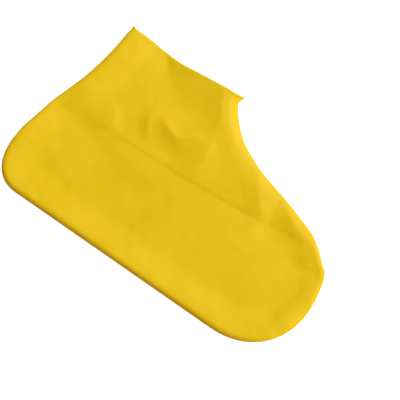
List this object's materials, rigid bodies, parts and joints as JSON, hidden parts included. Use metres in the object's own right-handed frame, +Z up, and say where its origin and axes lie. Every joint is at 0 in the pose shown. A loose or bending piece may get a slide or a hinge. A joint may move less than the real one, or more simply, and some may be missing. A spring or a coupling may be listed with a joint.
{
  "type": "rubber shoe cover",
  "caption": "One-piece dipped latex overshoe with a smooth sole band, wrinkled upper and open ankle mouth, lying pressed on its side.",
  "frame": {"origin": "middle of the object's box, on the surface that the cover lies on", "axes": "+X from heel to toe, +Y from the sole's edge to the ankle mouth, +Z up from the surface it lies on"},
  "size_m": [0.2798, 0.1713, 0.0128],
  "materials": {
    "latex": "matt to satin, smooth dipped surface"
  },
  "bodies": {
    "root": {"cover_shell": "latex"}
  },
  "joints": []
}
